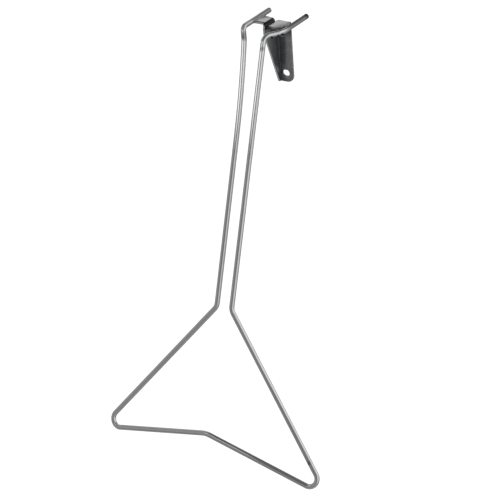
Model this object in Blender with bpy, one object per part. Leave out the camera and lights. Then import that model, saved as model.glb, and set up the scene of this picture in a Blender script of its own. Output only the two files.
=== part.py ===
"""Bicycle wall rack: one bent round bar welded to a folded sheet-steel wall bracket.

Units are metres and degrees, +Z is up and +Y points into the wall. The origin is on
the bracket's back face, the face that lies on the wall, midway across its width.
The legs lean away from the wall (-Y) and end in a wide triangle with a dipped base.
"""
import math

import bmesh
import bpy
from mathutils import Vector

# ---- Bar stock and sheet stock
ROD_DIAMETER = 0.008
SHEET = 0.003
FIT_GAP = 0.0003            # left between pieces that touch

# ---- Wall bracket
PLATE_WIDTH = 0.025
PLATE_TOP = 0.0480          # upper face of the shelf above the origin
PLATE_BOTTOM = 0.0492       # lower edge below the origin
PLATE_CORNER = 0.0105       # rounded lower corner
HOLE_WIDTH = 0.0118
HOLE_HEIGHT = 0.0098
HOLE_BELOW_ORIGIN = 0.0352
FOLD_INNER_RADIUS = 0.0012
WING_FOLD_INNER_RADIUS = 0.0024
CORNER_RELIEF = 0.0012      # slit left where three folded panels meet
WEB_DEPTH = 0.039           # front edge of the web, measured from the wall
WEB_KNEE = 0.0383           # height above the origin where the web starts to taper
WEB_LAND = 0.0023           # depth left in front of the fold at the web's lower end
SHELF_DEPTH_AT_WEB = 0.037
SHELF_DEPTH_AT_PRONG = 0.0275
WING_RISE = 0.0050          # upper face of the wing above the upper face of the shelf
WING_REACH = 0.0178         # how far the wing stands out from the web's outer face
WING_DEPTH = 0.0338         # front edge of the wing, measured from the wall
WING_BACK_AT_WEB = 0.009    # clearance behind the wing to the wall face
WING_BACK_AT_PRONG = 0.0065

# ---- Bent bar
LEGS_BESIDE_WEB = 0.0012    # the legs' middle line, outside the web's outer face
LEG_PITCH = 0.026           # between the two legs' centre lines
LEG_LENGTH = 0.4155         # from the leg tops to the lower bends
LEG_LEAN = 19.6             # away from the wall
LEG_TOP_OFFSET = 0.054      # leg tops in front of the wall
RIGHT_LEG_SPLAY = 0.0006    # outwards at the top of the right leg
FLARE_LENGTH = 0.165        # stretch of the left leg that curves out to its prong
TRIANGLE_HALF_WIDTH = 0.2057
TRIANGLE_HEIGHT = 0.2432
TRIANGLE_LEAN = 16.45
DIP_RISE = 0.0498           # middle of the base bar above its corners
DIP_FORWARD = 0.0212        # and out of the triangle's plane
LEFT_PRONG_PAST_WALL = 0.0165
RIGHT_PRONG_PAST_WALL = 0.037
LEFT_PRONG_ABOVE_WING = 0.0009      # prong centre above the wing's middle plane
RIGHT_PRONG_BELOW_SHELF = 0.0037    # prong centre below the shelf's middle plane
RIGHT_PRONG_STRAIGHT = 0.0684       # straight length of the right prong
BASE_CORNER_RADIUS = 0.0128
DIP_RADIUS = 0.028
LOWER_BEND_RADIUS = 0.017
LEFT_TOP_RADIUS = 0.0068
LEFT_TOP_KICK = 0.0044      # the tight left bend bulges forward of the leg's line
LEFT_TOP_KICK_LENGTH = 0.021
RIGHT_TOP_RADIUS = 0.011
RIGHT_SWEEP_RADIUS = 0.030
END_CHAMFER = 0.0006

# ---- Weld beads
LEFT_BEAD_LEG = 0.0022      # how far a bead spreads over the sheet
RIGHT_BEAD_LEG = 0.0016
BEAD_END_MARGIN = 0.001     # sheet left bare at each end of a bead
BEAD_TAPER = 0.0015

# ---- Mesh fineness
BAR_BEVEL_RESOLUTION = 6
BEND_STEP = 9.0             # degrees between rings in a bar bend
FOLD_STEPS = 6
CORNER_STEPS = 8
HOLE_SIDES = 48
FLARE_STEPS = 8

ROD_R = ROD_DIAMETER / 2
HALF_SHEET = SHEET / 2
HALF_WIDTH = PLATE_WIDTH / 2
FOLD_R = FOLD_INNER_RADIUS + HALF_SHEET          # radius of a fold's middle surface
WING_FOLD_R = WING_FOLD_INNER_RADIUS + HALF_SHEET

WEB_X = -HALF_WIDTH + HALF_SHEET                 # middle plane of the web
PLATE_Y = -HALF_SHEET                            # middle plane of the plate
SHELF_Z = PLATE_TOP - HALF_SHEET                 # middle plane of the shelf
WING_Z = PLATE_TOP + WING_RISE - HALF_SHEET      # middle plane of the wing
WING_EDGE_X = -HALF_WIDTH - WING_REACH           # free edge of the wing

LEFT_PRONG_X = WING_EDGE_X - FIT_GAP - ROD_R
LEFT_PRONG_Z = WING_Z + LEFT_PRONG_ABOVE_WING
RIGHT_PRONG_X = HALF_WIDTH + FIT_GAP + ROD_R
RIGHT_PRONG_Z = SHELF_Z - RIGHT_PRONG_BELOW_SHELF
FRAME_X = -HALF_WIDTH - LEGS_BESIDE_WEB          # midway between the two legs


def clear_scene():
    for thing in list(bpy.data.objects):
        bpy.data.objects.remove(thing, do_unlink=True)


def metal(name, colour, roughness, metallic):
    material = bpy.data.materials.new(name)
    material.use_nodes = True
    shader = material.node_tree.nodes["Principled BSDF"]
    shader.inputs["Base Color"].default_value = (*colour, 1.0)
    shader.inputs["Roughness"].default_value = roughness
    shader.inputs["Metallic"].default_value = metallic
    return material


def add_object(name, data, material):
    thing = bpy.data.objects.new(name, data)
    bpy.context.scene.collection.objects.link(thing)
    data.materials.append(material)
    return thing


# ---------------------------------------------------------------- bent bar

def rounded_path(corners):
    """Points along straight runs joined by true arcs; corners is (point, radius)."""
    points = [corners[0][0]]
    for before, here, after in zip(corners, corners[1:], corners[2:]):
        corner, radius = here
        arrive = (corner - before[0]).normalized()
        leave = (after[0] - corner).normalized()
        turn = arrive.angle(leave)
        if radius <= 0 or turn < math.radians(1):
            points.append(corner)
            continue
        room = 0.45 * min((corner - before[0]).length, (after[0] - corner).length)
        tangent = min(radius * math.tan(turn / 2), room)
        true_radius = tangent / math.tan(turn / 2)
        start = corner - arrive * tangent
        inward = (leave - arrive * math.cos(turn)).normalized()
        centre = start + inward * true_radius
        steps = max(2, round(math.degrees(turn) / BEND_STEP))
        for step in range(steps + 1):
            angle = turn * step / steps
            points.append(centre + (arrive * math.sin(angle) - inward * math.cos(angle)) * true_radius)
    points.append(corners[-1][0])
    return points


def leg_point(x, down):
    """A point in the legs' leaning plane, a distance down from the leg tops."""
    lean = math.radians(LEG_LEAN)
    return Vector((x, -LEG_TOP_OFFSET - down * math.sin(lean), PLATE_TOP - down * math.cos(lean)))


def leg_height(z):
    """How far down the leg plane a given height lies."""
    return (PLATE_TOP - z) / math.cos(math.radians(LEG_LEAN))


def triangle_point(x, down, forward=0.0):
    """A point in the triangle's own plane, measured from the lower bends."""
    lean = math.radians(TRIANGLE_LEAN)
    along = Vector((0, -math.sin(lean), -math.cos(lean)))
    outward = Vector((0, -math.cos(lean), math.sin(lean)))
    return leg_point(FRAME_X, LEG_LENGTH) + Vector((x, 0, 0)) + along * down + outward * forward


def left_leg(top):
    """The left leg, which curves gently outwards over its upper stretch."""
    leg_x = FRAME_X - LEG_PITCH / 2
    flare = LEFT_PRONG_X - leg_x
    corners = []
    for step in range(FLARE_STEPS + 1):
        down = top + LEFT_TOP_KICK_LENGTH + (FLARE_LENGTH - LEFT_TOP_KICK_LENGTH) * step / FLARE_STEPS
        share = (down - top) / FLARE_LENGTH
        corners.append((leg_point(leg_x + flare * (1 - share) ** 2, down), 0.0))
    return corners


def bar_corners():
    left_top = leg_height(LEFT_PRONG_Z)
    right_top = leg_height(RIGHT_PRONG_Z)
    half = LEG_PITCH / 2
    corners = [
        (Vector((LEFT_PRONG_X, LEFT_PRONG_PAST_WALL, LEFT_PRONG_Z)), 0.0),
        (leg_point(LEFT_PRONG_X, left_top) - Vector((0, LEFT_TOP_KICK, 0)), LEFT_TOP_RADIUS),
    ]
    corners += left_leg(left_top)
    corners += [
        (leg_point(FRAME_X - half, LEG_LENGTH), LOWER_BEND_RADIUS),
        (triangle_point(-TRIANGLE_HALF_WIDTH, TRIANGLE_HEIGHT), BASE_CORNER_RADIUS),
        (triangle_point(0, TRIANGLE_HEIGHT - DIP_RISE, DIP_FORWARD), DIP_RADIUS),
        (triangle_point(TRIANGLE_HALF_WIDTH, TRIANGLE_HEIGHT), BASE_CORNER_RADIUS),
        (leg_point(FRAME_X + half, LEG_LENGTH), LOWER_BEND_RADIUS),
        (leg_point(FRAME_X + half + RIGHT_LEG_SPLAY, right_top), RIGHT_TOP_RADIUS),
        (Vector((RIGHT_PRONG_X, RIGHT_PRONG_PAST_WALL - RIGHT_PRONG_STRAIGHT, RIGHT_PRONG_Z)),
         RIGHT_SWEEP_RADIUS),
        (Vector((RIGHT_PRONG_X, RIGHT_PRONG_PAST_WALL, RIGHT_PRONG_Z)), 0.0),
    ]
    return corners


def chamfered_ends(path):
    """Adds a ring just inside each end, so that the end rings can be drawn smaller."""
    first = path[0] + (path[1] - path[0]).normalized() * END_CHAMFER
    last = path[-1] + (path[-2] - path[-1]).normalized() * END_CHAMFER
    return [path[0], first] + path[1:-1] + [last, path[-1]]


def build_bar(material):
    path = chamfered_ends(rounded_path(bar_corners()))
    curve = bpy.data.curves.new("bent_bar", "CURVE")
    curve.dimensions = "3D"
    curve.bevel_depth = ROD_R
    curve.bevel_resolution = BAR_BEVEL_RESOLUTION
    curve.use_fill_caps = True
    spline = curve.splines.new("POLY")
    spline.points.add(len(path) - 1)
    for point, place in zip(spline.points, path):
        point.co = (*place, 1.0)
    for end in (spline.points[0], spline.points[-1]):
        end.radius = (ROD_R - END_CHAMFER) / ROD_R
    return add_object("bent_bar", curve, material)


# ---------------------------------------------------------------- wall bracket

def quarter_fold(steps):
    """Sine and cosine pairs from the start to the end of a right-angled fold."""
    for step in range(steps + 1):
        angle = math.pi / 2 * step / steps
        yield math.sin(angle), math.cos(angle)


def add_panel(mesh, outline):
    return mesh.faces.new([mesh.verts.new(point) for point in outline])


def add_fold(mesh, rows):
    """Quads between neighbouring rows, each row a pair of points."""
    verts = [[mesh.verts.new(point) for point in row] for row in rows]
    for first, second in zip(verts, verts[1:]):
        mesh.faces.new((first[0], first[1], second[1], second[0]))


def bracket_surface():
    """The folded sheet's middle surface: wing, web, wall plate and shelf."""
    mesh = bmesh.new()
    fold_y = PLATE_Y - FOLD_R
    fold_x = WEB_X + FOLD_R
    shelf_fold_z = SHELF_Z - FOLD_R
    web_fold_top = shelf_fold_z - CORNER_RELIEF
    wing_fold_z = WING_Z - WING_FOLD_R
    wing_fold_x = WEB_X - WING_FOLD_R
    front = -WEB_DEPTH
    wing_front = -WING_DEPTH
    bottom = -PLATE_BOTTOM
    wing_back = -WING_BACK_AT_WEB

    add_panel(mesh, [
        (WEB_X, front, wing_fold_z), (WEB_X, wing_back, wing_fold_z),
        (WEB_X, wing_back, web_fold_top), (WEB_X, fold_y, web_fold_top),
        (WEB_X, fold_y, bottom), (WEB_X, fold_y - WEB_LAND, bottom), (WEB_X, front, WEB_KNEE),
    ])
    add_fold(mesh, [
        ((WEB_X - WING_FOLD_R * (1 - cos), front + (wing_front - front) * (1 - cos),
          wing_fold_z + WING_FOLD_R * sin),
         (WEB_X - WING_FOLD_R * (1 - cos), wing_back, wing_fold_z + WING_FOLD_R * sin))
        for sin, cos in quarter_fold(FOLD_STEPS)])
    add_panel(mesh, [
        (wing_fold_x, wing_front, WING_Z), (WING_EDGE_X, wing_front, WING_Z),
        (WING_EDGE_X, -WING_BACK_AT_PRONG, WING_Z), (wing_fold_x, wing_back, WING_Z),
    ])
    add_fold(mesh, [
        ((WEB_X + FOLD_R * (1 - cos), fold_y + FOLD_R * sin, bottom),
         (WEB_X + FOLD_R * (1 - cos), fold_y + FOLD_R * sin, web_fold_top))
        for sin, cos in quarter_fold(FOLD_STEPS)])

    corner = []
    for step in range(CORNER_STEPS + 1):
        angle = math.pi / 2 * step / CORNER_STEPS
        corner.append((HALF_WIDTH - PLATE_CORNER * (1 - math.sin(angle)), PLATE_Y,
                       bottom + PLATE_CORNER * (1 - math.cos(angle))))
    add_panel(mesh, [(fold_x, PLATE_Y, web_fold_top), (fold_x, PLATE_Y, bottom)] + corner
              + [(HALF_WIDTH, PLATE_Y, shelf_fold_z), (fold_x, PLATE_Y, shelf_fold_z)])
    add_fold(mesh, [
        ((fold_x, PLATE_Y - FOLD_R * (1 - cos), shelf_fold_z + FOLD_R * sin),
         (HALF_WIDTH, PLATE_Y - FOLD_R * (1 - cos), shelf_fold_z + FOLD_R * sin))
        for sin, cos in quarter_fold(FOLD_STEPS)])
    shelf_x = WEB_X + HALF_SHEET + FIT_GAP
    add_panel(mesh, [
        (fold_x, fold_y, SHELF_Z), (fold_x, fold_y - CORNER_RELIEF, SHELF_Z),
        (shelf_x, fold_y - CORNER_RELIEF, SHELF_Z), (shelf_x, -SHELF_DEPTH_AT_WEB, SHELF_Z),
        (HALF_WIDTH, -SHELF_DEPTH_AT_PRONG, SHELF_Z), (HALF_WIDTH, fold_y, SHELF_Z),
    ])
    bmesh.ops.remove_doubles(mesh, verts=mesh.verts, dist=1e-6)
    bmesh.ops.recalc_face_normals(mesh, faces=mesh.faces)
    return mesh


def hole_outline(sides):
    """The bolt hole's outline in the XZ plane: two half circles joined by short straights."""
    radius = HOLE_HEIGHT / 2
    shift = (HOLE_WIDTH - HOLE_HEIGHT) / 2
    half = sides // 2
    points = []
    for side, start in ((1, -90), (-1, 90)):
        for step in range(half + 1):
            angle = math.radians(start + 180 * step / half)
            points.append((side * shift + radius * math.cos(angle),
                           radius * math.sin(angle) - HOLE_BELOW_ORIGIN))
    return points


def hole_cutter():
    mesh = bmesh.new()
    outline = hole_outline(HOLE_SIDES)
    near, far = ([mesh.verts.new((x, y, z)) for x, z in outline]
                 for y in (PLATE_Y - SHEET * 2, PLATE_Y + SHEET * 2))
    mesh.faces.new(near)
    mesh.faces.new(far[::-1])
    for i in range(len(outline)):
        j = (i + 1) % len(outline)
        mesh.faces.new((near[i], far[i], far[j], near[j]))
    bmesh.ops.recalc_face_normals(mesh, faces=mesh.faces)
    data = bpy.data.meshes.new("hole_cutter")
    mesh.to_mesh(data)
    mesh.free()
    cutter = bpy.data.objects.new("hole_cutter", data)
    bpy.context.scene.collection.objects.link(cutter)
    cutter.hide_render = True
    cutter.display_type = "WIRE"
    return cutter


def build_bracket(material):
    data = bpy.data.meshes.new("wall_bracket")
    surface = bracket_surface()
    surface.to_mesh(data)
    surface.free()
    bracket = add_object("wall_bracket", data, material)
    thicken = bracket.modifiers.new("sheet", "SOLIDIFY")
    thicken.thickness = SHEET
    thicken.offset = 0.0
    thicken.use_even_offset = True
    drill = bracket.modifiers.new("hole", "BOOLEAN")
    drill.operation = "DIFFERENCE"
    drill.solver = "EXACT"
    drill.object = hole_cutter()
    return bracket


# ---------------------------------------------------------------- weld beads

def arc_section(centre, radius, start, end, steps):
    """Points on a circle in the XZ plane, from one angle to another, in degrees."""
    points = []
    for step in range(steps + 1):
        angle = math.radians(start + (end - start) * step / steps)
        points.append((centre[0] + radius * math.cos(angle), centre[1] + radius * math.sin(angle)))
    return points


def build_bead(name, section, root, front, back, material):
    """A bead along Y; its section is (x, z) points, drawn in towards root at both ends."""
    rings = [(front, 0.35), (front + BEAD_TAPER, 1.0), (back - BEAD_TAPER, 1.0), (back, 0.35)]
    mesh = bmesh.new()
    loops = []
    for y, share in rings:
        loops.append([mesh.verts.new((root[0] + (x - root[0]) * share, y,
                                      root[1] + (z - root[1]) * share)) for x, z in section])
    for near, far in zip(loops, loops[1:]):
        count = len(section)
        for index in range(count):
            following = (index + 1) % count
            mesh.faces.new((near[index], near[following], far[following], far[index]))
    mesh.faces.new(loops[0])
    mesh.faces.new(loops[-1])
    bmesh.ops.recalc_face_normals(mesh, faces=mesh.faces)
    data = bpy.data.meshes.new(name)
    mesh.to_mesh(data)
    mesh.free()
    return add_object(name, data, material)


def on_sheet(section):
    """The middle of the side of a bead that lies along the sheet."""
    first, last = section[0], section[-1]
    return ((first[0] + last[0]) / 2, (first[1] + last[1]) / 2)


def angle_at_height(height, radius):
    """Angle above the horizontal at which a circle reaches a height over its centre."""
    return math.degrees(math.asin(max(-1.0, min(1.0, height / radius))))


def build_left_beads(material):
    centre = (LEFT_PRONG_X, LEFT_PRONG_Z)
    radius = ROD_R + FIT_GAP
    spread_x = WING_EDGE_X + LEFT_BEAD_LEG
    front = -WING_DEPTH + BEAD_END_MARGIN
    back = -WING_BACK_AT_PRONG - BEAD_END_MARGIN
    for name, side, reach in (("left_weld_top", 1, 48), ("left_weld_under", -1, 80)):
        face_z = WING_Z + side * (HALF_SHEET + FIT_GAP)
        low = abs(angle_at_height(face_z - centre[1], radius))
        section = arc_section(centre, radius, side * low, side * reach, 4)
        tip = section[-1]
        middle = ((tip[0] + spread_x) / 2 + 0.0002, (tip[1] + face_z) / 2 + side * 0.0003)
        section += [middle, (spread_x, face_z)]
        build_bead(name, section, on_sheet(section), front, back, material)


def right_prong_straight_start():
    """Depth at which the right prong's last bend ends and its straight run begins."""
    before, corner, tip = (point for point, radius in bar_corners()[-3:])
    turn = (corner - before).angle(tip - corner)
    room = 0.45 * min((corner - before).length, (tip - corner).length)
    return corner.y + min(RIGHT_SWEEP_RADIUS * math.tan(turn / 2), room)


def build_right_beads(material):
    centre = (RIGHT_PRONG_X, RIGHT_PRONG_Z)
    radius = ROD_R + FIT_GAP
    front = max(-SHELF_DEPTH_AT_PRONG, right_prong_straight_start()) + BEAD_END_MARGIN
    back = PLATE_Y - FOLD_R - BEAD_END_MARGIN
    spread_x = HALF_WIDTH - RIGHT_BEAD_LEG
    edge_x = HALF_WIDTH + FIT_GAP
    face_z = SHELF_Z + HALF_SHEET + FIT_GAP
    root = (edge_x, face_z)
    top = arc_section(centre, radius, 150, 108, 4)
    section = [(edge_x, top[0][1])] + top
    section += [(HALF_WIDTH + 0.0006, face_z + 0.0006), (spread_x, face_z), root]
    build_bead("right_weld_top", section, root, front, back, material)
    under_z = SHELF_Z - HALF_SHEET - FIT_GAP
    start = 180 - angle_at_height(under_z - centre[1], radius)
    under = arc_section(centre, radius, start, 215, 4)
    section = under + [(spread_x, under_z)]
    build_bead("right_weld_under", section, on_sheet(section), front, back, material)


def main():
    clear_scene()
    zinc = metal("zinc_plated_bar", (0.62, 0.63, 0.64), 0.32, 1.0)
    sheet = metal("dark_sheet_steel", (0.20, 0.21, 0.22), 0.45, 0.9)
    weld = metal("weld_metal", (0.48, 0.49, 0.50), 0.5, 0.9)
    build_bar(zinc)
    build_bracket(sheet)
    build_left_beads(weld)
    build_right_beads(weld)


main()
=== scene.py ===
"""Bicycle wall rack in a pale studio: bent zinc-plated bar, folded sheet bracket and weld beads."""
import math
import random

import bmesh
import bpy
from mathutils import Matrix, Vector, noise


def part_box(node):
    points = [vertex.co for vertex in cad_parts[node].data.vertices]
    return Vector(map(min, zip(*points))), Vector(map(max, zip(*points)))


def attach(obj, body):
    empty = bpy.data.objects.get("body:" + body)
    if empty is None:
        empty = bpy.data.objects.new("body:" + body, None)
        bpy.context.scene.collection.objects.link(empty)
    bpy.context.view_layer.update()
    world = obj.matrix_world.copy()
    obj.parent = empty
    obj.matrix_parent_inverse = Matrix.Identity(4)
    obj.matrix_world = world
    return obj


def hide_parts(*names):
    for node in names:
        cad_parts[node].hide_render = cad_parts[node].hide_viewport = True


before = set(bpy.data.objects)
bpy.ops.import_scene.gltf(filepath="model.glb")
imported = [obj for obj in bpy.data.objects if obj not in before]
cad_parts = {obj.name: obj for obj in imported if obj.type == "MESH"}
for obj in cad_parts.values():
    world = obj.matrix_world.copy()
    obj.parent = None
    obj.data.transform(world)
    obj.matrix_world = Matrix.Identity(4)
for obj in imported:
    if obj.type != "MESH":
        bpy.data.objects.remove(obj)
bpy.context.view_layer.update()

# ---- Sizes shared with the CAD model, in metres and degrees
ROD_R = 0.004
SHEET = 0.003
HALF_SHEET = SHEET / 2
FIT_GAP = 0.0003                 # left between pieces that touch

bracket_low, bracket_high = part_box("wall_bracket")
HALF_WIDTH = bracket_high.x
PLATE_BOTTOM = -bracket_low.z    # lower edge below the origin
PLATE_CORNER = 0.0105            # rounded lower corner
HOLE_WIDTH = 0.0118
HOLE_HEIGHT = 0.0098
HOLE_BELOW_ORIGIN = 0.0352
WING_TOP = bracket_high.z
WING_RISE = 0.005                # upper face of the wing above the upper face of the shelf
SHELF_TOP = WING_TOP - WING_RISE
FOLD_INNER_RADIUS = 0.0012
WING_FOLD_INNER_RADIUS = 0.0024
FOLD_R = FOLD_INNER_RADIUS + HALF_SHEET          # radius of a fold's middle surface
WING_FOLD_R = WING_FOLD_INNER_RADIUS + HALF_SHEET
CORNER_RELIEF = 0.0012           # slit left where three folded panels meet
WEB_DEPTH = -bracket_low.y
WEB_KNEE = 0.0383                # height above the origin where the web starts to taper
WEB_LAND = 0.0023                # depth left in front of the fold at the web's lower end
SHELF_DEPTH_AT_WEB = 0.037
SHELF_DEPTH_AT_PRONG = 0.0275
WING_DEPTH = 0.0338
WING_BACK_AT_WEB = 0.009         # clearance behind the wing to the wall face
WING_BACK_AT_PRONG = 0.0065

WEB_X = -HALF_WIDTH + HALF_SHEET                 # middle planes of the web, plate, shelf and wing
PLATE_Y = -HALF_SHEET
SHELF_Z = SHELF_TOP - HALF_SHEET
WING_Z = WING_TOP - HALF_SHEET
WING_EDGE_X = bracket_low.x
WEB_FACE_X = WEB_X + HALF_SHEET                  # the web's face on the plate's side

_, bar_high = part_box("bent_bar")
LEGS_BESIDE_WEB = 0.0012         # the legs' middle line, outside the web's outer face
LEG_PITCH = 0.026                # between the two legs' centre lines
LEG_LENGTH = 0.4155              # from the leg tops to the lower bends
LEG_LEAN = 19.6                  # away from the wall
LEG_TOP_OFFSET = 0.054           # leg tops in front of the wall
LEFT_TOP_KICK = 0.0044           # the tight left bend bulges forward of the leg's line
LEFT_TOP_KICK_LENGTH = 0.021
RIGHT_LEG_SPLAY = 0.0006         # outwards at the top of the right leg
FLARE_LENGTH = 0.165             # stretch of the left leg that curves out to its prong
TRIANGLE_HALF_WIDTH = 0.2057
TRIANGLE_HEIGHT = 0.2432
TRIANGLE_LEAN = 16.45
DIP_RISE = 0.0498                # middle of the base bar above its corners
DIP_FORWARD = 0.0212             # and out of the triangle's plane
LEFT_PRONG_PAST_WALL = 0.0165
RIGHT_PRONG_PAST_WALL = bar_high.y
RIGHT_PRONG_BELOW_SHELF = 0.0037                 # prong centre below the shelf's middle plane
RIGHT_PRONG_STRAIGHT = 0.0684
BASE_CORNER_RADIUS = 0.0128
DIP_RADIUS = 0.028
LOWER_BEND_RADIUS = 0.017
LEFT_TOP_RADIUS = 0.0068
RIGHT_TOP_RADIUS = 0.011
RIGHT_SWEEP_RADIUS = 0.030
END_CHAMFER = 0.0006

LEFT_PRONG_X = WING_EDGE_X - FIT_GAP - ROD_R
LEFT_PRONG_Z = bar_high.z - ROD_R
RIGHT_PRONG_X = HALF_WIDTH + FIT_GAP + ROD_R
RIGHT_PRONG_Z = SHELF_Z - RIGHT_PRONG_BELOW_SHELF
FRAME_X = -HALF_WIDTH - LEGS_BESIDE_WEB          # midway between the two legs
LEFT_LEG_X = FRAME_X - LEG_PITCH / 2
RIGHT_LEG_X = FRAME_X + LEG_PITCH / 2

# ---- Fineness of the visible surfaces
BAR_SIDES = 40
BEND_STEP = 4.0                  # degrees between rings in a bar bend
STRAIGHT_STEP = 0.006
FLARE_STEPS = 16
FOLD_STEPS = 10
CORNER_STEPS = 12
HOLE_SIDES = 72
BEAD_SIDES = 14
BEAD_STEP = 0.0003

# ---- Wear of the bar, rounding of the sheet
BEND_FLATTENING = 0.10           # loss of radius across a bend, times the bend's tightness
BEND_SPREAD = 0.04               # and gain sideways
GRIP_REACH = 0.0030              # round dents that the bending tool left on the stems
GRIP_DEPTH = 0.00035
GRIP_SIDE = Vector((0.35, -0.9, 0.2))
SHEET_EDGE_ROUND = 0.00032
SHEET_EDGE_ANGLE = 50            # edges sharper than this are rounded

# ---- Weld beads, spatter and painted shadow spots
LEFT_BEAD_MARGIN = 0.0014        # sheet left bare at each end of a bead
RIGHT_BEAD_MARGIN = 0.0012
BEAD_TAPER = 0.0022              # length over which a bead's end rises
BEAD_END_SIZE = 0.12             # size of a bead's very end, as a share of its full size
RIPPLE_PITCH = 0.0016
RIPPLE_RISE = 0.13               # share of the bead's height
RIPPLE_LAG = 0.0004              # how far a ripple's crown trails behind its foot
BEAD_WANDER = 0.00022
BEAD_LUMP = 0.10

# Droplets under the right prong, and near-black spots that paint the shadow gaps around the weld:
# across from its centre line, depth, height above its underside, radius
WELD_DROPLETS = (
    (0.0012, -0.0338, -0.0004, 0.0016),
    (0.0002, -0.0362, -0.0003, 0.0008),
)
SHADOW_GAP_SPOTS = (
    (0.0020, -0.0345, 0.0010, 0.0018),
    (-0.0022, -0.0398, 0.0002, 0.0017),
    (-0.0078, -0.0490, 0.0006, 0.0017),
)
SPATTER_AND_SPOT_LUMP = 0.12

# ---- Colours
ZINC = (0.755, 0.76, 0.77)
ZINC_PALE = (0.80, 0.805, 0.81)
ZINC_CLOUD = (0.64, 0.65, 0.67)
ZINC_SPECK = (0.34, 0.34, 0.35)
ZINC_DULLED_AND_SHADED = (0.20, 0.20, 0.21)
ZINC_SCORCHED_AND_SHADED = (0.05, 0.05, 0.055)
PLATED_SHEET = (0.44, 0.45, 0.46)
PLATED_SHEET_PALE = (0.55, 0.56, 0.57)
SHEET_SCUFF = (0.25, 0.25, 0.26)
SHEET_PAINTED_SHEEN = (0.86, 0.865, 0.87)
SHEET_DULLED_AND_SHADED = (0.30, 0.30, 0.31)
SHEET_SHEARED = (0.90, 0.90, 0.91)
SOOT_AND_SHADE = (0.035, 0.035, 0.04)
BEAD_DARK = (0.50, 0.50, 0.51)
BEAD_PALE = (0.72, 0.72, 0.73)
BEAD_PIT = (0.20, 0.20, 0.21)
SHADOW_BLACK = (0.03, 0.03, 0.032)
FLOOR_PALE = (0.9, 0.9, 0.9)
WHITE = (1.0, 1.0, 1.0)

# ---- Regions of the metal. A row has a strength and then soft steps that are multiplied,
# each an axis, where the step is still nothing and where it is full.
BAR_TOP = ("Z", SHELF_TOP - 0.022, SHELF_TOP - 0.020)
LEFT_OF_FRAME = ("X", FRAME_X + 0.001, FRAME_X - 0.001)
RIGHT_OF_FRAME = ("X", FRAME_X - 0.001, FRAME_X + 0.001)
# Heat tint near the welds, and a painted dark reflection along the top of the right prong
BAR_HEAT_AND_SHADE = (
    # both prongs, from their welds to their ends
    (0.55, BAR_TOP, LEFT_OF_FRAME, ("Y", -0.026, -0.004)),
    (0.60, BAR_TOP, RIGHT_OF_FRAME, ("Y", -0.034, -0.010)),
    # the top of the right prong: heat tint from the weld, and a painted dark reflection along its top
    (0.95, RIGHT_OF_FRAME, ("Y", -0.034, -0.012), ("Z", RIGHT_PRONG_Z - 0.0005, RIGHT_PRONG_Z + 0.0025)),
    # each prong's side towards its weld
    (0.70, BAR_TOP, LEFT_OF_FRAME, ("X", LEFT_PRONG_X - 0.001, LEFT_PRONG_X + 0.0035),
     ("Y", -0.042, -0.030)),
    (0.80, BAR_TOP, RIGHT_OF_FRAME, ("X", RIGHT_PRONG_X + 0.0005, RIGHT_PRONG_X - 0.0035),
     ("Y", -0.046, -0.030)),
)
ON_PLATE = ("Y", -SHEET - 0.004, -SHEET - 0.0005)
# Painted shade in the folds, beside the web and under the shelf, with some grime at the riser
SHEET_SHADE_AND_GRIME = (
    # painted shade down the plate beside the web, in the inside corner
    (0.75, ("X", WEB_FACE_X + 0.016, WEB_FACE_X), ON_PLATE),
    # painted shade on the web, most towards its front edge
    (0.55, ("X", WEB_FACE_X + 0.0006, WEB_FACE_X + 0.0001), ("Z", SHELF_TOP, SHELF_TOP - 0.001),
     ("Y", 0.004, -0.022)),
    # the riser between shelf and wing: painted shade and grime
    (1.0, ("X", WEB_FACE_X - 0.0056, WEB_FACE_X - 0.0030), ("X", WEB_FACE_X + 0.0006, WEB_FACE_X + 0.0002),
     ("Z", SHELF_TOP - 0.0008, SHELF_TOP)),
    # painted shadow on the shelf's front corner beside the web
    (0.95, ("X", WEB_FACE_X + 0.0130, WEB_FACE_X + 0.0040), ("Y", -0.0290, -0.0315),
     ("Z", SHELF_TOP - 0.006, SHELF_TOP - 0.004)),
    # painted shadow on the top of the plate, below the shelf
    (0.78, ("Z", 0.018, 0.036), ON_PLATE, ("Z", SHELF_TOP - 0.0005, SHELF_TOP - 0.0035)),
)
SHEET_HEAT_AND_SHADE = (
    # the wing's welded side
    (0.30, ("X", WING_EDGE_X + 0.005, WING_EDGE_X + 0.001), ("Z", SHELF_TOP, SHELF_TOP + 0.001)),
    # the right side of the plate's top and of the shelf's underside: heat tint from the weld, and the
    # painted shadow of the right prong
    (0.40, ("X", HALF_WIDTH - 0.005, HALF_WIDTH - 0.001), ("Z", SHELF_TOP - 0.014, SHELF_TOP - 0.008),
     ("Z", SHELF_TOP - 0.0005, SHELF_TOP - 0.002)),
)
# the shears left the front edges of web and wing pale; the upper faces of shelf and wing get a painted
# sheen
WEB_AND_WING = (1.0, ("X", WEB_FACE_X + 0.0005, WEB_FACE_X), ("Y", -0.005, -0.007))
SHELF_AND_WING = (1.0, ("Z", SHELF_TOP - 0.001, SHELF_TOP - 0.0004))


# ================================================================ materials

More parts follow.
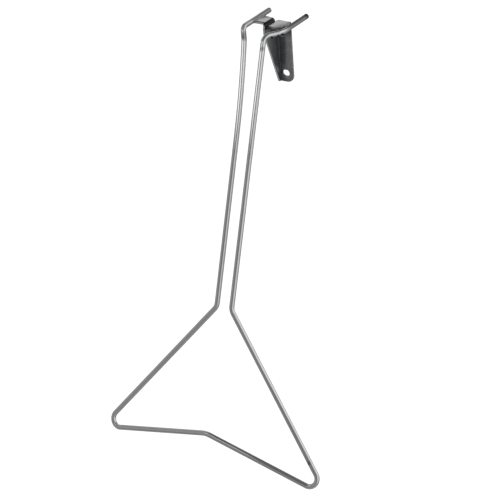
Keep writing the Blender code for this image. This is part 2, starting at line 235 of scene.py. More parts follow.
class NodeTree:
    """Nodes of a material or a world; each method gives the socket that holds its result."""

    def __init__(self, owner):
        owner.use_nodes = True
        self.nodes, self.links = owner.node_tree.nodes, owner.node_tree.links

    def add(self, kind, **settings):
        node = self.nodes.new("ShaderNode" + kind)
        for name, value in settings.items():
            setattr(node, name, value)
        return node

    def feed(self, socket, value):
        """Gives a socket another node's result, a colour or a plain value."""
        if isinstance(value, bpy.types.NodeSocket):
            self.links.new(value, socket)
        elif socket.type == "RGBA":
            socket.default_value = (*value, 1.0)
        else:
            socket.default_value = value

    def calculate(self, operation, first, second=0.0):
        node = self.add("Math", operation=operation)
        self.feed(node.inputs[0], first)
        self.feed(node.inputs[1], second)
        return node.outputs["Value"]

    def plus(self, first, second):
        return self.calculate("ADD", first, second)

    def times(self, first, second):
        return self.calculate("MULTIPLY", first, second)

    def noise(self, vector, scale, detail=3.0, roughness=0.55):
        node = self.add("TexNoise")
        for name, value in (("Vector", vector), ("Scale", scale),
                            ("Detail", detail), ("Roughness", roughness)):
            self.feed(node.inputs[name], value)
        return node.outputs["Fac"]

    def stretched(self, vector, scale):
        node = self.add("Mapping")
        self.feed(node.inputs["Vector"], vector)
        self.feed(node.inputs["Scale"], scale)
        return node.outputs["Vector"]

    def remap(self, value, low, high, to_low=0.0, to_high=1.0):
        """A soft step from to_low, at low and under, to to_high, at high and over."""
        node = self.add("MapRange", interpolation_type="SMOOTHSTEP")
        for name, number in (("Value", value), ("From Min", low), ("From Max", high),
                             ("To Min", to_low), ("To Max", to_high)):
            self.feed(node.inputs[name], number)
        return node.outputs["Result"]

    def mix(self, factor, first, second):
        """A blend of two colours; the node's colour sockets have no names of their own."""
        node = self.add("Mix", data_type="RGBA")
        self.feed(node.inputs["Factor"], factor)
        self.feed(node.inputs[6], first)
        self.feed(node.inputs[7], second)
        return node.outputs[2]

    def bump(self, height, distance):
        node = self.add("Bump")
        for name, value in (("Strength", 1.0), ("Distance", distance), ("Height", height)):
            self.feed(node.inputs[name], value)
        return node.outputs["Normal"]

    def along(self, vector, axis):
        node = self.add("SeparateXYZ")
        self.feed(node.inputs[0], vector)
        return node.outputs[axis]

    def region(self, position, row):
        """One row of a table of regions: its soft steps multiplied together, times its strength."""
        value, *steps = row
        for axis, none_at, full_at in steps:
            low, high = sorted((none_at, full_at))
            rises = none_at < full_at
            step = self.remap(self.along(position, axis), low, high, float(not rises), float(rises))
            value = self.times(step, value)
        return value

    def spot(self, position, centre, reach, strength):
        """A round mark, strongest at its centre."""
        away = self.add("VectorMath", operation="DISTANCE")
        self.feed(away.inputs[0], position)
        self.feed(away.inputs[1], centre)
        return self.remap(away.outputs["Value"], 0.25 * reach, reach, strength, 0.0)

    def largest(self, values):
        most, *others = values
        for value in others:
            most = self.calculate("MAXIMUM", most, value)
        return most

    def regions(self, position, rows):
        return self.largest([self.region(position, row) for row in rows])


def new_material(name, metallic=0.0):
    material = bpy.data.materials.new(name)
    tree = NodeTree(material)
    shader = tree.nodes["Principled BSDF"]
    shader.inputs["Metallic"].default_value = metallic
    return material, tree, shader


def bar_marks_and_shade():
    """The bending tool's marks, the right prong's burnt tip and a painted dark reflection below the left
    top bend: centre, reach and strength.
    """
    left_top, right_top = leg_height(LEFT_PRONG_Z), leg_height(RIGHT_PRONG_Z)
    front = Vector((0, -0.0035, 0.001))
    triangle_side = leg_point(RIGHT_LEG_X, LEG_LENGTH).lerp(
        triangle_point(TRIANGLE_HALF_WIDTH, TRIANGLE_HEIGHT), 0.82)
    tip = Vector((RIGHT_PRONG_X, RIGHT_PRONG_PAST_WALL, RIGHT_PRONG_Z))
    return (
        # painted dark reflection just below the left top bend
        (leg_point(LEFT_PRONG_X + 0.0045, left_top + 0.014) + front, 0.0100, 0.50),
        (leg_point(RIGHT_LEG_X + 0.001, right_top + 0.0178) + front, 0.0055, 0.60),
        (leg_point(RIGHT_LEG_X - 0.003, right_top + 0.012) + front, 0.0070, 0.45),
        (triangle_side + front + Vector((-0.001, 0, 0)), 0.0055, 0.60),
        (tip + Vector((0, 0.001, 0.003)), 0.0150, 1.0),
    )


def bar_material():
    """Zinc-plated drawn bar: die lines along it, mottled plating, dulled where it was welded or gripped,
    and painted dark reflections along the top of the right prong and below the left top bend.
    """
    material, tree, shader = new_material("zinc_plated_bar_finish", metallic=1.0)
    place = tree.add("TexCoord")
    position = place.outputs["Object"]
    die_lines = tree.noise(tree.stretched(place.outputs["UV"], (46.0, 1.5, 1.0)), 1.0, detail=2.0)
    mottle = tree.noise(position, 95.0, detail=4.0, roughness=0.6)
    cloud = tree.noise(position, 14.0, detail=2.0)
    specks = tree.noise(position, 620.0, detail=2.0, roughness=0.5)
    heat_and_shade = tree.regions(position, BAR_HEAT_AND_SHADE)
    marks_and_shade = tree.largest([tree.spot(position, *mark) for mark in bar_marks_and_shade()])
    colour = tree.mix(tree.remap(mottle, 0.35, 0.68), ZINC, ZINC_PALE)
    colour = tree.mix(tree.remap(cloud, 0.38, 0.66, to_high=0.25), colour, ZINC_CLOUD)
    colour = tree.mix(tree.remap(specks, 0.66, 0.74, to_high=0.45), colour, ZINC_SPECK)
    # dulled by weld heat, with a painted dark reflection on the right prong's top
    colour = tree.mix(heat_and_shade, colour, ZINC_DULLED_AND_SHADED)
    # tool marks and burnt tip, with a painted dark reflection below the left top bend
    colour = tree.mix(marks_and_shade, colour, ZINC_SCORCHED_AND_SHADED)
    rough = tree.remap(mottle, 0.3, 0.7, 0.07, 0.12)
    rough = tree.plus(rough, tree.times(heat_and_shade, 0.08))
    rough = tree.plus(rough, tree.times(marks_and_shade, 0.15))
    left_bend = leg_point(LEFT_PRONG_X, leg_height(LEFT_PRONG_Z))
    rough = tree.plus(rough, tree.spot(position, left_bend, reach=0.020, strength=0.30))
    relief = tree.plus(tree.times(die_lines, 0.85), tree.times(mottle, 0.15))
    tree.feed(shader.inputs["Base Color"], colour)
    tree.feed(shader.inputs["Roughness"], rough)
    tree.feed(shader.inputs["Normal"], tree.bump(relief, distance=0.00002))
    return material


def sheet_material():
    """Darker plated sheet: rolling grain, blotches, painted shade with some soot in the folds and under the
    shelf, a painted sheen on the upward faces, pale sheared front edges.
    """
    material, tree, shader = new_material("plated_sheet_finish", metallic=1.0)
    place = tree.add("TexCoord")
    position, normal = place.outputs["Object"], place.outputs["Normal"]
    grain = tree.noise(tree.stretched(position, (900.0, 900.0, 60.0)), 1.0)
    blotch = tree.noise(position, 130.0, detail=4.0, roughness=0.62)
    scuff = tree.noise(tree.stretched(position, (1.0, 0.35, 1.0)), 420.0, roughness=0.7)
    heat_and_shade = tree.regions(position, SHEET_HEAT_AND_SHADE)
    shade_and_grime = tree.regions(position, SHEET_SHADE_AND_GRIME)
    facing_front = tree.remap(tree.along(normal, "Y"), -0.75, -0.50, 1.0, 0.0)
    sheared = tree.times(facing_front, tree.region(position, WEB_AND_WING))
    # painted sheen: the upward faces of shelf and wing are made lighter, as if lit from above
    facing_up = tree.remap(tree.along(normal, "Z"), 0.75, 0.97)
    painted_sheen = tree.times(facing_up, tree.region(position, SHELF_AND_WING))
    colour = tree.mix(tree.remap(blotch, 0.34, 0.68), PLATED_SHEET, PLATED_SHEET_PALE)
    colour = tree.mix(tree.remap(scuff, 0.62, 0.72, to_high=0.4), colour, SHEET_SCUFF)
    colour = tree.mix(tree.times(painted_sheen, 0.85), colour, SHEET_PAINTED_SHEEN)
    # weld heat, with the right prong's painted shadow on the plate
    colour = tree.mix(heat_and_shade, colour, SHEET_DULLED_AND_SHADED)
    # painted shade, with some soot at the riser
    colour = tree.mix(shade_and_grime, colour, SOOT_AND_SHADE)
    colour = tree.mix(sheared, colour, SHEET_SHEARED)
    rough = tree.plus(tree.remap(blotch, 0.3, 0.7, 0.20, 0.28), tree.times(heat_and_shade, 0.12))
    relief = tree.plus(tree.times(grain, 0.4), tree.times(blotch, 0.6))
    tree.feed(shader.inputs["Base Color"], colour)
    tree.feed(shader.inputs["Roughness"], rough)
    tree.feed(shader.inputs["Normal"], tree.bump(relief, distance=0.00008))
    return material


def shadow_spot_material():
    """Near-black finish for the spots that paint the shadow gaps around the weld."""
    material, tree, shader = new_material("painted_shadow_finish", metallic=0.6)
    tree.feed(shader.inputs["Base Color"], SHADOW_BLACK)
    tree.feed(shader.inputs["Roughness"], 0.55)
    return material


def weld_material():
    """Plated weld metal: duller and grainier than the bar, with dark pits."""
    material, tree, shader = new_material("weld_bead_finish", metallic=1.0)
    position = tree.add("TexCoord").outputs["Object"]
    grain = tree.noise(position, 900.0, detail=4.0, roughness=0.6)
    blotch = tree.noise(position, 240.0, roughness=0.6)
    colour = tree.mix(tree.remap(blotch, 0.36, 0.66), BEAD_DARK, BEAD_PALE)
    colour = tree.mix(tree.remap(grain, 0.62, 0.72, to_high=0.8), colour, BEAD_PIT)
    tree.feed(shader.inputs["Base Color"], colour)
    tree.feed(shader.inputs["Roughness"], tree.remap(grain, 0.3, 0.7, 0.30, 0.48))
    tree.feed(shader.inputs["Normal"], tree.bump(grain, distance=0.00015))
    return material


# ================================================================ pieces

def add_object(name, mesh):
    """Puts a bmesh into the scene as an object, and frees it."""
    data = bpy.data.meshes.new(name)
    mesh.to_mesh(data)
    mesh.free()
    thing = bpy.data.objects.new(name, data)
    bpy.context.scene.collection.objects.link(thing)
    return thing


def finish_piece(name, mesh, material, nodes, smooth_angle):
    piece = add_object(name, mesh)
    piece.data.materials.append(material)
    piece.data.set_sharp_from_angle(angle=math.radians(smooth_angle))
    for polygon in piece.data.polygons:
        polygon.use_smooth = True
    if nodes:
        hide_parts(*nodes)
    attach(piece, "root")


# ================================================================ bent bar

def rounded_path(corners):
    """Points along straight runs joined by true arcs, and how tightly the bar is bent at each."""
    points, tightness = [corners[0][0]], [0.0]
    for before, here, after in zip(corners, corners[1:], corners[2:]):
        corner, radius = here
        arrive = (corner - before[0]).normalized()
        leave = (after[0] - corner).normalized()
        turn = arrive.angle(leave)
        if radius <= 0 or turn < math.radians(1):
            points.append(corner)
            tightness.append(0.0)
            continue
        tangent = bend_tangent(before[0], corner, after[0], radius)
        true_radius = tangent / math.tan(turn / 2)
        start = corner - arrive * tangent
        inward = (leave - arrive * math.cos(turn)).normalized()
        centre = start + inward * true_radius
        steps = max(3, round(math.degrees(turn) / BEND_STEP))
        for step in range(steps + 1):
            angle = turn * step / steps
            points.append(centre + (arrive * math.sin(angle) - inward * math.cos(angle)) * true_radius)
            tightness.append(math.sin(math.pi * step / steps) * ROD_R / true_radius)
    points.append(corners[-1][0])
    tightness.append(0.0)
    return points, tightness


def bend_tangent(before, corner, after, radius):
    """How far from its corner a bend starts; it takes less than half of either run."""
    turn = (corner - before).angle(after - corner)
    room = 0.45 * min((corner - before).length, (after - corner).length)
    return min(radius * math.tan(turn / 2), room)


def leg_point(x, down):
    lean = math.radians(LEG_LEAN)
    return Vector((x, -LEG_TOP_OFFSET - down * math.sin(lean), SHELF_TOP - down * math.cos(lean)))


def leg_height(z):
    """How far down the legs' line a height lies."""
    return (SHELF_TOP - z) / math.cos(math.radians(LEG_LEAN))


def triangle_point(x, down, forward=0.0):
    lean = math.radians(TRIANGLE_LEAN)
    along = Vector((0, -math.sin(lean), -math.cos(lean)))
    outward = Vector((0, -math.cos(lean), math.sin(lean)))
    return leg_point(FRAME_X, LEG_LENGTH) + Vector((x, 0, 0)) + along * down + outward * forward


def bar_corners():
    """The bar's corners from the left prong's end to the right prong's, each with its bend radius."""
    left_top, right_top = leg_height(LEFT_PRONG_Z), leg_height(RIGHT_PRONG_Z)
    corners = [
        (Vector((LEFT_PRONG_X, LEFT_PRONG_PAST_WALL, LEFT_PRONG_Z)), 0.0),
        (leg_point(LEFT_PRONG_X, left_top) - Vector((0, LEFT_TOP_KICK, 0)), LEFT_TOP_RADIUS),
    ]
    for step in range(FLARE_STEPS + 1):
        down = left_top + LEFT_TOP_KICK_LENGTH + (FLARE_LENGTH - LEFT_TOP_KICK_LENGTH) * step / FLARE_STEPS
        share = (down - left_top) / FLARE_LENGTH
        x = LEFT_LEG_X + (LEFT_PRONG_X - LEFT_LEG_X) * (1 - share) ** 2
        corners.append((leg_point(x, down), 0.0))
    corners += [
        (leg_point(LEFT_LEG_X, LEG_LENGTH), LOWER_BEND_RADIUS),
        (triangle_point(-TRIANGLE_HALF_WIDTH, TRIANGLE_HEIGHT), BASE_CORNER_RADIUS),
        (triangle_point(0, TRIANGLE_HEIGHT - DIP_RISE, DIP_FORWARD), DIP_RADIUS),
        (triangle_point(TRIANGLE_HALF_WIDTH, TRIANGLE_HEIGHT), BASE_CORNER_RADIUS),
        (leg_point(RIGHT_LEG_X, LEG_LENGTH), LOWER_BEND_RADIUS),
        (leg_point(RIGHT_LEG_X + RIGHT_LEG_SPLAY, right_top), RIGHT_TOP_RADIUS),
        (Vector((RIGHT_PRONG_X, RIGHT_PRONG_PAST_WALL - RIGHT_PRONG_STRAIGHT, RIGHT_PRONG_Z)),
         RIGHT_SWEEP_RADIUS),
        (Vector((RIGHT_PRONG_X, RIGHT_PRONG_PAST_WALL, RIGHT_PRONG_Z)), 0.0),
    ]
    return corners


def even_path(points, tightness):
    """Splits long straight runs, so that dents in the bar have points to sit on."""
    path, bend = [points[0]], [tightness[0]]
    for a, b, ta, tb in zip(points, points[1:], tightness, tightness[1:]):
        pieces = max(1, math.ceil((b - a).length / STRAIGHT_STEP))
        for piece in range(1, pieces + 1):
            share = piece / pieces
            path.append(a.lerp(b, share))
            bend.append(ta + (tb - ta) * share)
    return path, bend


def bar_path():
    """The bar's centre line, with a ring's place for the chamfer near each end, and its bending."""
    path, bend = even_path(*rounded_path(bar_corners()))
    first = path[0].lerp(path[1], END_CHAMFER / (path[1] - path[0]).length)
    last = path[-1].lerp(path[-2], END_CHAMFER / (path[-2] - path[-1]).length)
    return [path[0], first] + path[1:-1] + [last, path[-1]], [0.0, 0.0] + bend[1:-1] + [0.0, 0.0]


def nearness(point, centre, reach):
    """1 at a place on the bar, falling to 0 at a distance from it."""
    return max(0.0, 1.0 - (point - centre).length / reach) ** 1.5


def bar_ring(point, side, other, radius, inward, bend):
    """Points round the bar: flattened across a bend, and dented where the tool gripped the stems."""
    dents = (leg_point(LEFT_PRONG_X + 0.0005, leg_height(LEFT_PRONG_Z) + 0.030),
             leg_point(RIGHT_LEG_X, leg_height(RIGHT_PRONG_Z) + 0.020))
    grip = max(nearness(point, dent, GRIP_REACH) for dent in dents)
    ring = []
    for turn in range(BAR_SIDES):
        angle = 2 * math.pi * turn / BAR_SIDES
        out = side * math.cos(angle) + other * math.sin(angle)
        across = abs(out.dot(inward))
        reach = radius * (1 - BEND_FLATTENING * bend * across + BEND_SPREAD * bend * (1 - across))
        reach -= GRIP_DEPTH * grip * max(0.0, out.dot(GRIP_SIDE)) ** 2
        ring.append(point + out * reach)
    return ring


def bar_rings(path, bend):
    """A ring of points at each place on the path, turned as little as the path allows."""
    last = len(path) - 1
    tangent = (path[1] - path[0]).normalized()
    side = tangent.orthogonal().normalized()
    for index, point in enumerate(path):
        new_tangent = (path[min(index + 1, last)] - path[max(index - 1, 0)]).normalized()
        side = (tangent.rotation_difference(new_tangent) @ side).normalized()
        tangent = new_tangent
        other = tangent.cross(side).normalized()
        inward = Vector((0, 0, 0))
        if 0 < index < last and bend[index] > 0:
            inward = (path[index + 1] - point).normalized() - (point - path[index - 1]).normalized()
        if inward.length > 1e-9:
            inward.normalize()
        radius = ROD_R - END_CHAMFER if index in (0, last) else ROD_R
        yield bar_ring(point, side, other, radius, inward, bend[index])


def build_bar(material):
    path, bend = bar_path()
    mesh = bmesh.new()
    uv_layer = mesh.loops.layers.uv.new("UVMap")
    rings = [[mesh.verts.new(point) for point in ring] for ring in bar_rings(path, bend)]
    travelled = 0.0
    for index, (first, second) in enumerate(zip(rings, rings[1:])):
        ahead = travelled + (path[index + 1] - path[index]).length
        for turn in range(BAR_SIDES):
            following = (turn + 1) % BAR_SIDES
            face = mesh.faces.new((first[turn], first[following], second[following], second[turn]))
            around = (turn, turn + 1, turn + 1, turn)
            for loop, u, v in zip(face.loops, around, (travelled, travelled, ahead, ahead)):
                loop[uv_layer].uv = (u / BAR_SIDES, v * 10)
        travelled = ahead
    for cap in (rings[0][::-1], rings[-1]):
        for loop in mesh.faces.new(cap).loops:
            loop[uv_layer].uv = (0.5, 0.5)
    bmesh.ops.recalc_face_normals(mesh, faces=mesh.faces)
    finish_piece("bent_bar_finish", mesh, material, ["bent_bar"], smooth_angle=35.0)


# ================================================================ bracket

def quarter_turn(steps):
    for step in range(steps + 1):
        angle = math.pi / 2 * step / steps
        yield 1 - math.cos(angle), math.sin(angle)


def bracket_surface():
    """The folded sheet's middle surface: web, wing, plate and shelf, and the folds between them."""
    mesh = bmesh.new()
    fold_y, fold_x = PLATE_Y - FOLD_R, WEB_X + FOLD_R
    shelf_fold_z = SHELF_Z - FOLD_R
    web_fold_top = shelf_fold_z - CORNER_RELIEF
    wing_fold_z, wing_fold_x = WING_Z - WING_FOLD_R, WEB_X - WING_FOLD_R
    front, wing_front = -WEB_DEPTH, -WING_DEPTH
    bottom, wing_back = -PLATE_BOTTOM, -WING_BACK_AT_WEB
    shelf_x = WEB_FACE_X + FIT_GAP

    def panel(outline):
        mesh.faces.new([mesh.verts.new(point) for point in outline])

    def fold(rows):
        verts = [[mesh.verts.new(point) for point in row] for row in rows]
        for first, second in zip(verts, verts[1:]):
            mesh.faces.new((first[0], first[1], second[1], second[0]))

    panel([(WEB_X, front, wing_fold_z), (WEB_X, wing_back, wing_fold_z),
           (WEB_X, wing_back, web_fold_top), (WEB_X, fold_y, web_fold_top),
           (WEB_X, fold_y, bottom), (WEB_X, fold_y - WEB_LAND, bottom), (WEB_X, front, WEB_KNEE)])
    fold([((WEB_X - WING_FOLD_R * out, front + (wing_front - front) * out, wing_fold_z + WING_FOLD_R * up),
           (WEB_X - WING_FOLD_R * out, wing_back, wing_fold_z + WING_FOLD_R * up))
          for out, up in quarter_turn(FOLD_STEPS)])
    panel([(wing_fold_x, wing_front, WING_Z), (WING_EDGE_X, wing_front, WING_Z),
           (WING_EDGE_X, -WING_BACK_AT_PRONG, WING_Z), (wing_fold_x, wing_back, WING_Z)])
    fold([((WEB_X + FOLD_R * out, fold_y + FOLD_R * back, bottom),
           (WEB_X + FOLD_R * out, fold_y + FOLD_R * back, web_fold_top))
          for out, back in quarter_turn(FOLD_STEPS)])
    corner = [(HALF_WIDTH - PLATE_CORNER * (1 - across), PLATE_Y, bottom + PLATE_CORNER * rise)
              for rise, across in quarter_turn(CORNER_STEPS)]
    panel([(fold_x, PLATE_Y, web_fold_top), (fold_x, PLATE_Y, bottom)] + corner
          + [(HALF_WIDTH, PLATE_Y, shelf_fold_z), (fold_x, PLATE_Y, shelf_fold_z)])
    fold([((fold_x, PLATE_Y - FOLD_R * out, shelf_fold_z + FOLD_R * up),
           (HALF_WIDTH, PLATE_Y - FOLD_R * out, shelf_fold_z + FOLD_R * up))
          for out, up in quarter_turn(FOLD_STEPS)])
    panel([(fold_x, fold_y, SHELF_Z), (fold_x, fold_y - CORNER_RELIEF, SHELF_Z),
           (shelf_x, fold_y - CORNER_RELIEF, SHELF_Z), (shelf_x, -SHELF_DEPTH_AT_WEB, SHELF_Z),
           (HALF_WIDTH, -SHELF_DEPTH_AT_PRONG, SHELF_Z), (HALF_WIDTH, fold_y, SHELF_Z)])
    bmesh.ops.remove_doubles(mesh, verts=mesh.verts, dist=1e-6)
    bmesh.ops.recalc_face_normals(mesh, faces=mesh.faces)
    return mesh


def hole_outline():
    """The bolt hole's outline in the XZ plane: two half circles joined by short straights."""
    radius = HOLE_HEIGHT / 2
    shift = (HOLE_WIDTH - HOLE_HEIGHT) / 2
    half = HOLE_SIDES // 2
    points = []
    for side, start in ((1, -90), (-1, 90)):
        for step in range(half + 1):
            angle = math.radians(start + 180 * step / half)
            points.append((side * shift + radius * math.cos(angle),
                           radius * math.sin(angle) - HOLE_BELOW_ORIGIN))
    return points


def hole_cutter():
    """A plug through the plate, standing out on both sides, in the shape of the hole."""
    mesh = bmesh.new()
    outline = hole_outline()
    front, back = ([mesh.verts.new((x, y, z)) for x, z in outline]
                   for y in (PLATE_Y - SHEET * 2, PLATE_Y + SHEET * 2))
    mesh.faces.new(front)
    mesh.faces.new(back[::-1])
    for index in range(len(outline)):
        following = (index + 1) % len(outline)
        mesh.faces.new((front[index], back[index], back[following], front[following]))
    bmesh.ops.recalc_face_normals(mesh, faces=mesh.faces)
    return add_object("hole_cutter", mesh)


def baked_mesh(thing):
    """The object's mesh with its modifiers applied."""
    graph = bpy.context.evaluated_depsgraph_get()
    data = bpy.data.meshes.new_from_object(thing.evaluated_get(graph))
    mesh = bmesh.new()
    mesh.from_mesh(data)
    bpy.data.meshes.remove(data)
    return mesh


def build_bracket(material):
    blank = add_object("bracket_blank", bracket_surface())
    cutter = hole_cutter()
    thicken = blank.modifiers.new("sheet", "SOLIDIFY")
    thicken.thickness, thicken.offset, thicken.use_even_offset = SHEET, 0.0, True
    drill = blank.modifiers.new("hole", "BOOLEAN")
    drill.operation, drill.solver, drill.object = "DIFFERENCE", "EXACT", cutter
    edge = blank.modifiers.new("edge", "BEVEL")
    edge.width, edge.segments, edge.limit_method = SHEET_EDGE_ROUND, 2, "ANGLE"
    edge.angle_limit = math.radians(SHEET_EDGE_ANGLE)
    bpy.context.view_layer.update()
    mesh = baked_mesh(blank)
    for thing in (blank, cutter):
        bpy.data.objects.remove(thing, do_unlink=True)
    bmesh.ops.triangulate(mesh, faces=[face for face in mesh.faces if len(face.verts) > 4])
    finish_piece("wall_bracket_finish", mesh, material, ["wall_bracket"],
                 smooth_angle=30.0)


# ================================================================ welds

def ripple_bead(node, start, end, across, up, width, height, material, seed):
    """A row of overlapping ripples from start to end; across and up give the bead's section."""
    length = (end - start).length
    along = (end - start).normalized()
    stations = max(12, round(length / BEAD_STEP))
    mesh = bmesh.new()
    rings = []
    for index in range(stations + 1):
        share = index / stations
        travelled = share * length
        taper = min(1.0, math.sqrt(max(0.0, min(share, 1 - share)) * length / BEAD_TAPER))
        taper = max(BEAD_END_SIZE, taper)
        ripple = 1.0 + RIPPLE_RISE * abs(math.sin(math.pi * travelled / RIPPLE_PITCH))
        wander = noise.noise(Vector((travelled * 260, seed * 7.3, 0.0)))
        centre = start + along * travelled + across * (BEAD_WANDER * wander)
        ring = []
        for turn in range(BEAD_SIDES + 1):
            angle = math.pi * turn / BEAD_SIDES
            lump = 1.0 + BEAD_LUMP * noise.noise(Vector((travelled * 700, angle * 1.7, seed)))
            ring.append(mesh.verts.new(
                centre - along * (RIPPLE_LAG * math.sin(angle))
                + across * (math.cos(angle) * width / 2 * taper * lump)
                + up * (math.sin(angle) * height * taper * ripple * lump)))
        rings.append(ring)
    for first, second in zip(rings, rings[1:]):
        count = len(first)
        for turn in range(count):
            following = (turn + 1) % count
            mesh.faces.new((first[turn], first[following], second[following], second[turn]))
    mesh.faces.new(rings[0][::-1])
    mesh.faces.new(rings[-1])
    bmesh.ops.recalc_face_normals(mesh, faces=mesh.faces)
    finish_piece(node + "_bead", mesh, material, [node], smooth_angle=60.0)


def build_welds(material):
    """The beads above and below each joint, along the wing's free edge and the shelf's right side."""
    left = (-WING_DEPTH + LEFT_BEAD_MARGIN, -WING_BACK_AT_PRONG - LEFT_BEAD_MARGIN)
    right = (max(-SHELF_DEPTH_AT_PRONG, right_prong_straight_start()) + RIGHT_BEAD_MARGIN,
             PLATE_Y - FOLD_R - RIGHT_BEAD_MARGIN)
    wing_under, shelf_under = WING_Z - HALF_SHEET, SHELF_Z - HALF_SHEET
    beads = (
        # node, depths of its ends, x, z, direction across it in x and z, 1 above or -1 below, width, height
        ("left_weld_top", left, WING_EDGE_X - 0.0004, WING_TOP, (1, -0.28), 1, 0.0050, 0.0012),
        ("left_weld_under", left, WING_EDGE_X - 0.0006, wing_under, (1, 0.25), -1, 0.0046, 0.0014),
        ("right_weld_top", right, HALF_WIDTH + 0.0007, SHELF_TOP - 0.0006, (1, -0.35), 1, 0.0036, 0.0007),
        ("right_weld_under", right, HALF_WIDTH - 0.0002, shelf_under - 0.0004, (0.5, -0.87), -1,
         0.0042, 0.0015),
    )
    for index, (node, ends, x, z, (run, rise), above, width, height) in enumerate(beads):
        start, end = (Vector((x, depth, z)) for depth in ends)
        across = Vector((run, 0, rise)).normalized()
        up = Vector((-rise * above, 0, run * above)).normalized()
        ripple_bead(node, start, end, across, up, width, height, material, seed=3 + 2 * index)


def right_prong_straight_start():
    """Depth at which the right prong's last bend ends and its straight run begins."""
    before, corner, tip = (point for point, _ in bar_corners()[-3:])
    return corner.y + bend_tangent(before, corner, tip, RIGHT_SWEEP_RADIUS)


def spatter_and_shadow_spots(name, places, material, seed):
    """Small lumps under the right prong, each a slightly flattened bead stuck to the metal: weld droplets,
    and near-black spots that paint shadow gaps.
    """
    rng = random.Random(seed)
    mesh = bmesh.new()
    for across, depth, rise, radius in places:
        centre = Vector((RIGHT_PRONG_X + across, depth, RIGHT_PRONG_Z - ROD_R + rise))
        made = bmesh.ops.create_icosphere(mesh, subdivisions=3, radius=radius)
        stretch = (rng.uniform(0.85, 1.15), rng.uniform(0.95, 1.35), rng.uniform(0.75, 1.0))
        for vert in made["verts"]:
            rough = 1 + SPATTER_AND_SPOT_LUMP * noise.noise(vert.co * 1500 + Vector((seed, 0, 0)))
            vert.co = Vector(a * b * rough for a, b in zip(vert.co, stretch)) + centre
    finish_piece(name, mesh, material, [], smooth_angle=60.0)


# ================================================================ stage

SKY_BASE = 0.30
SKY_DARKEST = 0.03
SKY = (
    # azimuth, elevation, strength, sharpness
    (108, 0, 0.50, 9.0),      # front part of the large softbox on the right
    (66, 28, 0.70, 7.5),      # its back part, higher up
    (26, 6, 0.16, 12.0),      # its edge, low down by the wall
    (-134, 3, 0.08, 8.0),     # pale wall on the left
    (-34, 25, 0.26, 12.0),    # smaller softbox behind on the left
    (-110, -60, 0.05, 5.0),   # pale table
    (-145, -28, -0.14, 9.0),  # its near edge
    (166, 9, -0.12, 18.0),    # gap in the lights, behind the camera
    (180, 65, -0.19, 4.0),    # dark ceiling towards the camera
    (-5, 56, -0.32, 15.0),    # and above the wall
)

STEM_TOP = Vector((-0.014, -0.07, 0.0))
STRIPS = (
    # name, azimuth, elevation, distance, width, height, brightness
    ("strip_left", -158, 12, 0.70, 0.58, 0.24, 0.92),
    ("strip_right", 125, 12, 0.70, 0.60, 0.24, 0.26),
)

FLOOR_DROP = 1.9              # floor below the origin; the rack hangs at about head height
FLOOR_GLOW = 0.82
CAMERA_PLACE = (1.2922, -2.0389, 0.9773)
CAMERA_YAW = 34.142           # left of +Y
CAMERA_PITCH = 28.46          # downwards
CAMERA_ROLL = -4.295
CAMERA_LENS = 126.0           # millimetres, on a sensor 36 mm wide


def compass(azimuth, elevation):
    """The direction at an azimuth, 0 for +Y and 90 for +X, and an elevation."""
    az, el = math.radians(azimuth), math.radians(elevation)
    return Vector((math.sin(az) * math.cos(el), math.cos(az) * math.cos(el), math.sin(el)))


def lobe(tree, direction, towards, strength, sharpness):
    """One soft patch of light in the sky."""
    dot = tree.add("VectorMath", operation="DOT_PRODUCT")
    tree.feed(dot.inputs[0], direction)
    tree.feed(dot.inputs[1], towards)
    away = tree.calculate("SUBTRACT", dot.outputs["Value"], 1.0)
    return tree.times(tree.calculate("EXPONENT", tree.times(away, sharpness)), strength)


def build_world():
    """Soft patches of light over an even sky; the camera itself sees plain white."""
    world = bpy.data.worlds.new("studio")
    bpy.context.scene.world = world
    tree = NodeTree(world)
    tree.nodes.clear()
    direction = tree.add("TexCoord").outputs["Generated"]
    total = SKY_BASE
    for azimuth, elevation, strength, sharpness in SKY:
        total = tree.plus(lobe(tree, direction, compass(azimuth, elevation), strength, sharpness), total)
    light = tree.add("Background")
    tree.feed(light.inputs["Color"], tree.calculate("MAXIMUM", total, SKY_DARKEST))
    backdrop = tree.add("Background")
    tree.feed(backdrop.inputs["Color"], WHITE)
    mix = tree.add("MixShader")
    tree.feed(mix.inputs[0], tree.add("LightPath").outputs["Is Camera Ray"])
    tree.feed(mix.inputs[1], light.outputs[0])
    tree.feed(mix.inputs[2], backdrop.outputs[0])
    tree.feed(tree.add("OutputWorld").inputs[0], mix.outputs[0])


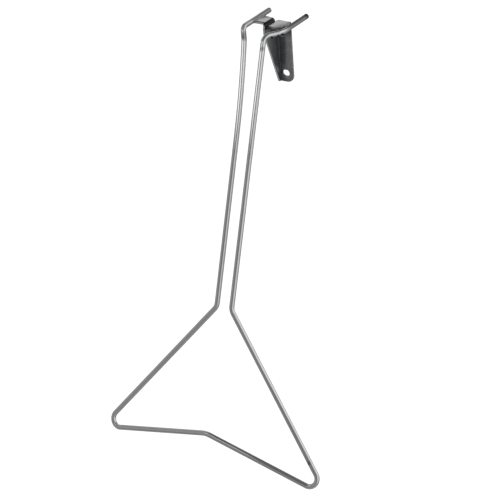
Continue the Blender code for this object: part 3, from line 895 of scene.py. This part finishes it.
def build_floor():
    mesh = bmesh.new()
    bmesh.ops.create_grid(mesh, x_segments=1, y_segments=1, size=40)
    floor = add_object("floor", mesh)
    floor.location = (0, 0, -FLOOR_DROP)
    floor.visible_glossy = False
    material, tree, shader = new_material("pale_floor")
    tree.feed(shader.inputs["Base Color"], FLOOR_PALE)
    tree.feed(shader.inputs["Roughness"], 0.9)
    tree.feed(shader.inputs["Emission Color"], WHITE)
    tree.feed(shader.inputs["Emission Strength"], FLOOR_GLOW)
    floor.data.materials.append(material)


def build_lights():
    """Soft strips of light round the top of the stem; a strip's power follows from its size."""
    for name, azimuth, elevation, distance, width, height, brightness in STRIPS:
        away = compass(azimuth, elevation)
        data = bpy.data.lights.new(name, "AREA")
        data.shape, data.size, data.size_y = "RECTANGLE", width, height
        data.energy = brightness * math.pi * width * height
        light = bpy.data.objects.new(name, data)
        bpy.context.scene.collection.objects.link(light)
        light.location = STEM_TOP + away * distance
        light.rotation_mode = "QUATERNION"
        light.rotation_quaternion = (-away).to_track_quat("-Z", "Y")
        light.visible_camera = False


def build_camera():
    yaw, roll = math.radians(CAMERA_YAW), math.radians(CAMERA_ROLL)
    forward = compass(-CAMERA_YAW, -CAMERA_PITCH)
    level = Vector((math.cos(yaw), math.sin(yaw), 0.0))
    above = level.cross(forward)
    right = level * math.cos(roll) + above * math.sin(roll)
    up = above * math.cos(roll) - level * math.sin(roll)
    data = bpy.data.cameras.new("camera")
    data.lens, data.sensor_width = CAMERA_LENS, 36.0
    data.clip_start, data.clip_end = 0.05, 200.0
    camera = bpy.data.objects.new("camera", data)
    bpy.context.scene.collection.objects.link(camera)
    turn = Matrix((right, up, -forward)).transposed().to_4x4()
    camera.matrix_world = Matrix.Translation(CAMERA_PLACE) @ turn
    bpy.context.scene.camera = camera


def main():
    bpy.context.scene.view_settings.view_transform = "Standard"
    build_camera()
    build_world()
    build_floor()
    build_lights()
    build_bar(bar_material())
    build_bracket(sheet_material())
    weld = weld_material()
    build_welds(weld)
    spatter_and_shadow_spots("weld_droplets", WELD_DROPLETS, weld, seed=11)
    # near-black spots standing in for the shadow gaps around the weld
    spatter_and_shadow_spots("painted_shadow_spots", SHADOW_GAP_SPOTS, shadow_spot_material(), seed=13)


main()
